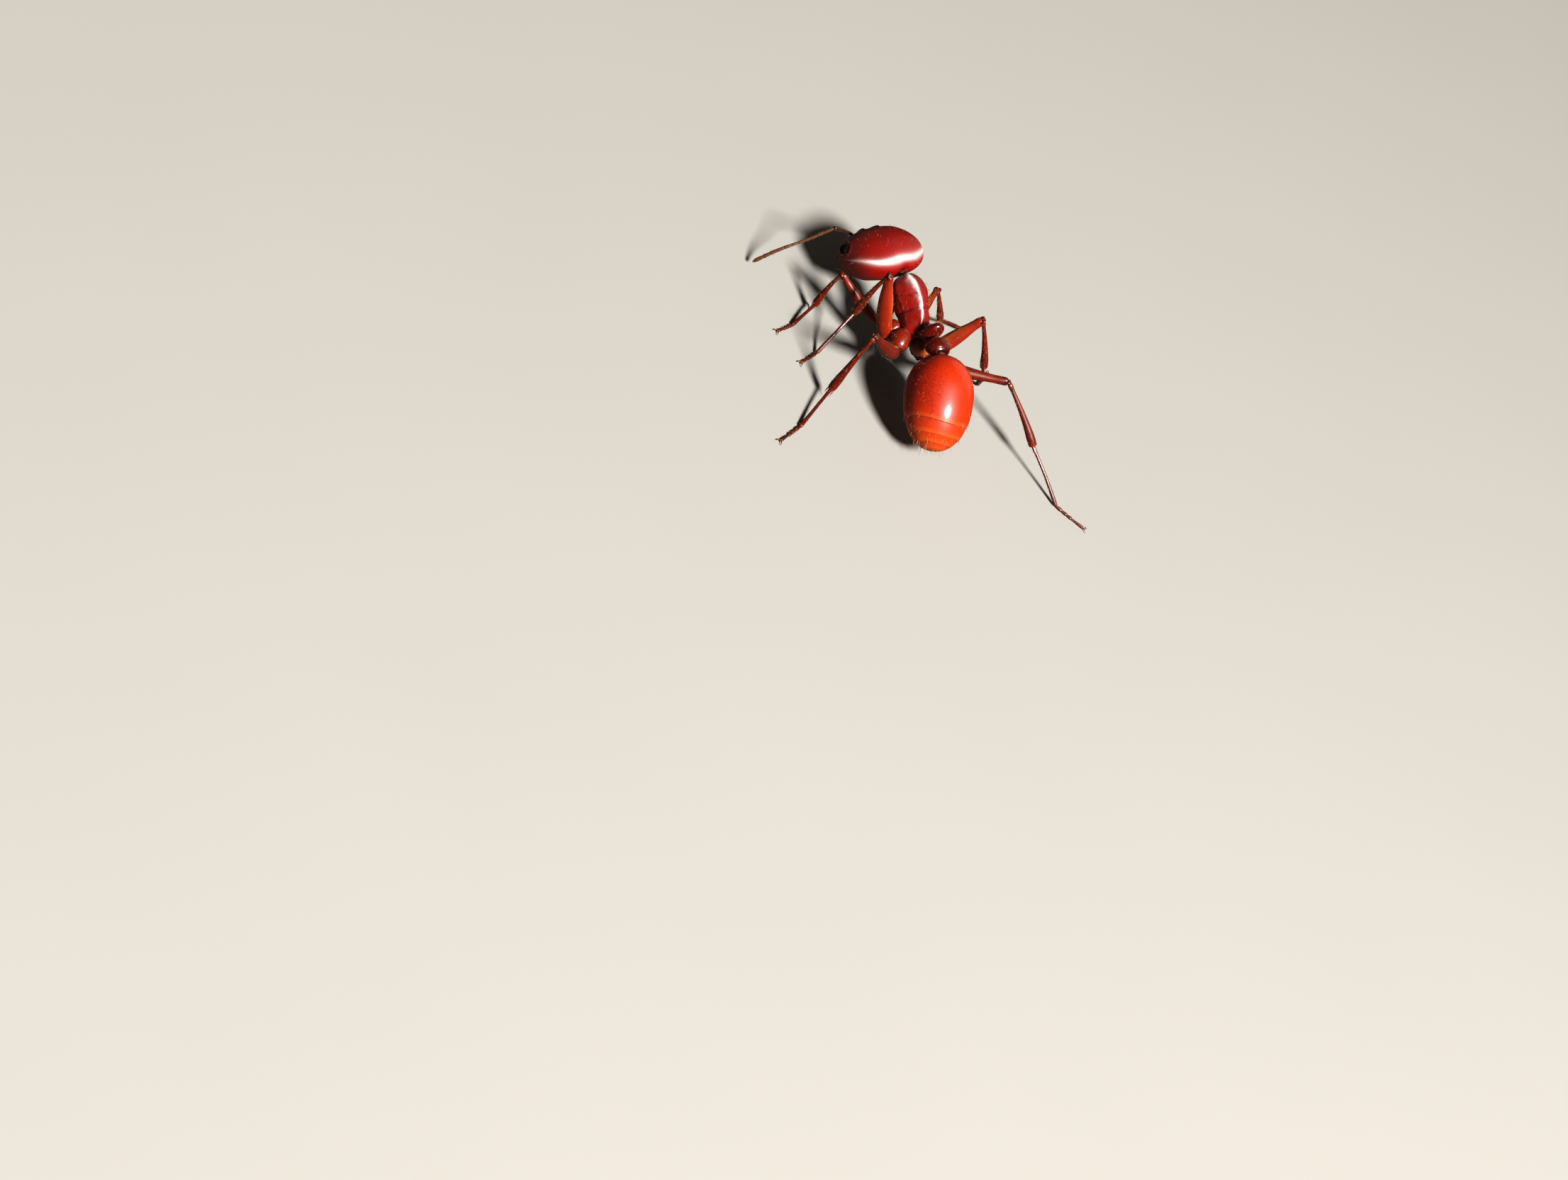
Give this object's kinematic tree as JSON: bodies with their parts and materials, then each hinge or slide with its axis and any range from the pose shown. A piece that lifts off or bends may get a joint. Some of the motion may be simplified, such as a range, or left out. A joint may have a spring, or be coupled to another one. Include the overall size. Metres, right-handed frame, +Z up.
{
  "type": "red harvester ant",
  "caption": "Life-size still model of a glossy red harvester ant worker standing on its legs, broad head bowed, smooth orange-red gaster hanging behind a knotted waist",
  "frame": {"origin": "centre of the footprint of the whole ant, on the surface it stands on", "axes": "+Z up, the ant faces -Y, its left side is +X"},
  "size_m": [0.0118, 0.0108, 0.0033],
  "materials": {
    "head": "polished dark brick-red cuticle with fine ridges",
    "trunk": "glossy red cuticle with fine wrinkles",
    "gaster": "smooth, very glossy orange-red cuticle",
    "leg": "glossy red-brown cuticle, paler at the joints",
    "feeler": "satin brown cuticle with fine down",
    "eye": "shiny black facets",
    "mandible": "glossy dark cuticle, nearly black at the teeth"
  },
  "bodies": {
    "root": {"head": "head", "neck": "trunk", "pronotum": "trunk", "mesothorax": "trunk", "propodeum": "trunk", "petiole": "trunk", "postpetiole": "trunk", "gaster_1": "gaster", "gaster_2": "gaster", "gaster_3": "gaster", "gaster_tip": "gaster", "eye_left": "eye", "mandible_left": "mandible", "scape_left": "feeler", "funiculus_left": "feeler", "coxa_fore_left": "leg", "femur_fore_left": "leg", "tibia_fore_left": "leg", "tarsus_fore_left": "leg", "coxa_mid_left": "leg", "femur_mid_left": "leg", "tibia_mid_left": "leg", "tarsus_mid_left": "leg", "coxa_hind_left": "leg", "femur_hind_left": "leg", "tibia_hind_left": "leg", "tarsus_hind_left": "leg", "eye_right": "eye", "mandible_right": "mandible", "scape_right": "feeler", "funiculus_right": "feeler", "coxa_fore_right": "leg", "femur_fore_right": "leg", "tibia_fore_right": "leg", "tarsus_fore_right": "leg", "coxa_mid_right": "leg", "femur_mid_right": "leg", "tibia_mid_right": "leg", "tarsus_mid_right": "leg", "coxa_hind_right": "leg", "femur_hind_right": "leg", "tibia_hind_right": "leg", "tarsus_hind_right": "leg"}
  },
  "joints": []
}
